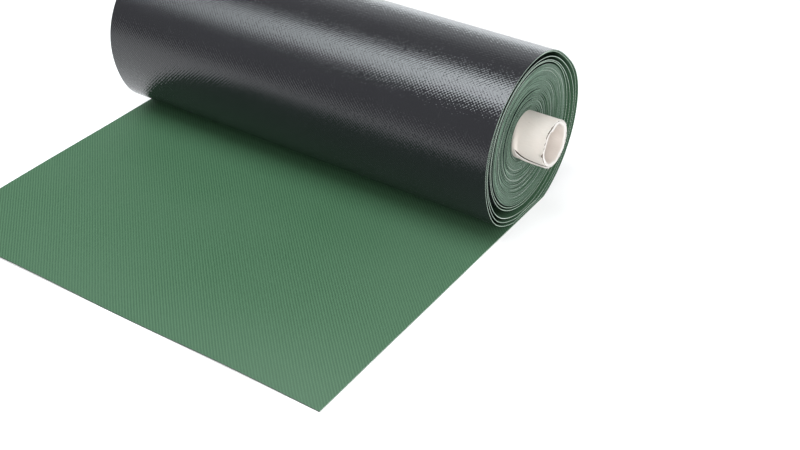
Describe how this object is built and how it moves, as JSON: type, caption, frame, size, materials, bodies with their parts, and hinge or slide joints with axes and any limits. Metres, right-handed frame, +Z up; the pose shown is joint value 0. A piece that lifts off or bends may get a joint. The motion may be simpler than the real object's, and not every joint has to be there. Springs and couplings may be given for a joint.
{
  "type": "roll of sign vinyl",
  "caption": "Wide reinforced PVC web, glossy on one face and ribbed on the other, wound on a cardboard core, with slack outer turns and its free end lying flat in front.",
  "frame": {"origin": "on the ground, straight below the roll's axis, at the middle of the web's width", "axes": "+X along the roll's axis towards its dished end, -Y the way the free end lies, +Z up"},
  "size_m": [0.67, 0.5727, 0.224],
  "materials": {
    "face_film": "glossy black PVC with an embossed weave",
    "back_film": "matte green PVC with fine diagonal ribs",
    "scrim": "open woven polyester",
    "wound_web": "cut edges of a green and black laminated web",
    "core_board": "wound grey-beige paperboard with a fuzzy cut end",
    "tape": "creped paper tape"
  },
  "bodies": {
    "slack_web": {"ground_run_face_film": "face_film", "ground_run_scrim": "scrim", "ground_run_back_film": "back_film", "slack_turn_1_face_film": "face_film", "slack_turn_1_scrim": "scrim", "slack_turn_1_back_film": "back_film", "slack_turn_2_face_film": "face_film", "slack_turn_2_scrim": "scrim", "slack_turn_2_back_film": "back_film", "slack_turn_3_face_film": "face_film", "slack_turn_3_scrim": "scrim", "slack_turn_3_back_film": "back_film", "slack_turn_4_face_film": "face_film", "slack_turn_4_scrim": "scrim", "slack_turn_4_back_film": "back_film", "slack_turn_5_face_film": "face_film", "slack_turn_5_scrim": "scrim", "slack_turn_5_back_film": "back_film"},
    "free_end": {"free_end_face_film": "face_film", "free_end_scrim": "scrim", "free_end_back_film": "back_film"},
    "outer_turns": {"wound_turns_4": "wound_web"},
    "middle_turns": {"wound_turns_3": "wound_web"},
    "inner_turns": {"wound_turns_2": "wound_web"},
    "core": {"wound_turns_1": "wound_web", "start_tape": "tape", "core_liner_ply": "core_board", "core_body_plies": "core_board", "core_wrap_ply": "core_board"}
  },
  "joints": [
    {"name": "pack_turn", "type": "hinge", "parent": "slack_web", "child": "outer_turns", "pos_m": [0, 0, 0.111], "axis": [1, 0, 0], "range_deg": [-90, 180]},
    {"name": "telescope", "type": "slide", "parent": "outer_turns", "child": "middle_turns", "axis": [1, 0, 0], "range_m": [-0.005, 0.005]},
    {"name": "telescope_inner", "type": "slide", "parent": "middle_turns", "child": "inner_turns", "axis": [1, 0, 0], "range_m": [-0.005, 0.005]},
    {"name": "telescope_core", "type": "slide", "parent": "inner_turns", "child": "core", "axis": [1, 0, 0], "range_m": [-0.005, 0.005]},
    {"name": "free_end_lift", "type": "hinge", "parent": "slack_web", "child": "free_end", "pos_m": [0, -0.2, 0.0012], "axis": [-1, 0, 0], "range_deg": [0, 90]}
  ],
  "couplings": [
    {"joint": "telescope_inner", "follows": "telescope", "ratio": 1},
    {"joint": "telescope_core", "follows": "telescope", "ratio": 1}
  ]
}
